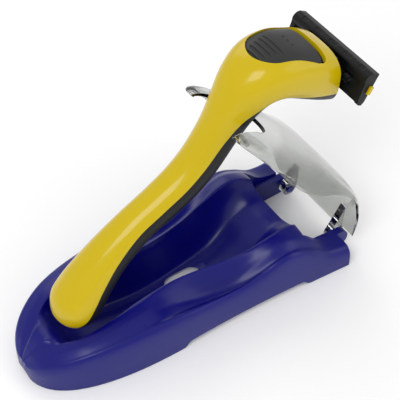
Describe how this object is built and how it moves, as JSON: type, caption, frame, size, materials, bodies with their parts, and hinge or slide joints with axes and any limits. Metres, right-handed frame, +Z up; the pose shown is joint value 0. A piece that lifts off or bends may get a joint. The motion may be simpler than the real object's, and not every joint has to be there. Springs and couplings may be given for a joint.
{
  "type": "wet razor with travel stand",
  "caption": "Wet razor with a swivelling blade cartridge and push release, leaning on its own oval travel stand with a hinged clear cover.",
  "frame": {"origin": "under the middle of the set, on the surface it stands on", "axes": "+X along the stand from its nose to the cover's hinge, +Z up, Y across the stand"},
  "size_m": [0.1385, 0.058, 0.1043],
  "materials": {
    "blue_styrene": "translucent moulded, satin",
    "clear_styrene": "clear moulded",
    "yellow_abs": "gloss moulded",
    "black_grip": "satin moulded",
    "grey_button": "fine matt",
    "black_acetal": "gloss moulded",
    "cartridge_black": "satin moulded",
    "white_acetal": "natural moulded",
    "strip_blue": "matt soap polymer",
    "foot_rubber": "matt",
    "spring_steel": "drawn",
    "blade_steel": "ground"
  },
  "bodies": {
    "stand": {"stand_shell": "blue_styrene", "foot_front_left": "foot_rubber", "foot_front_right": "foot_rubber", "foot_rear_left": "foot_rubber", "foot_rear_right": "foot_rubber"},
    "cover": {"clear_cover": "clear_styrene"},
    "handle": {"handle_shell": "yellow_abs", "grip_underside": "black_grip", "chassis": "black_acetal", "neck_ring": "spring_steel"},
    "button": {"release_button": "grey_button", "pusher_rod": "white_acetal", "button_spring": "spring_steel"},
    "yoke": {"yoke": "black_acetal", "centring_spring": "spring_steel"},
    "connector": {"connector": "black_acetal", "pivot_pin_left": "spring_steel", "pivot_pin_right": "spring_steel", "return_leaf": "spring_steel"},
    "cartridge": {"cartridge_frame": "cartridge_black", "cartridge_cap": "cartridge_black", "lubricating_strip": "strip_blue", "blade_carrier": "yellow_abs", "blade_front": "blade_steel", "blade_rear": "blade_steel", "blade_spacer": "blade_steel", "guard_wires": "blade_steel", "guard_strip": "foot_rubber"}
  },
  "joints": [
    {"name": "cover_hinge", "type": "hinge", "parent": "stand", "child": "cover", "pos_m": [0.0619, 0, 0.005], "axis": [0, -1, 0], "range_deg": [0, 48]},
    {"name": "razor_lift", "type": "slide", "parent": "stand", "child": "handle", "axis": [0, 0, 1], "range_m": [0, 0.12]},
    {"name": "button_slide", "type": "slide", "parent": "handle", "child": "button", "axis": [0.9472, 0, -0.3206], "range_m": [0, 0.0015], "stiffness_N_per_m": 300, "springref_m": -0.002, "deforming": ["button_spring"]},
    {"name": "head_roll", "type": "hinge", "parent": "handle", "child": "yoke", "pos_m": [0.0589, 0, 0.0865], "axis": [0.9472, 0, -0.3206], "range_deg": [-8, 8], "stiffness_Nm_per_rad": 0.03},
    {"name": "cartridge_eject", "type": "slide", "parent": "yoke", "child": "connector", "axis": [0.9472, 0, -0.3206], "range_m": [0, 0.0015]},
    {"name": "cartridge_pivot", "type": "hinge", "parent": "connector", "child": "cartridge", "pos_m": [0.06269, 0, 0.08522], "axis": [0, 1, 0], "range_deg": [-12, 12], "stiffness_Nm_per_rad": 0.004}
  ],
  "couplings": [
    {"joint": "cartridge_eject", "follows": "button_slide", "ratio": 1}
  ]
}
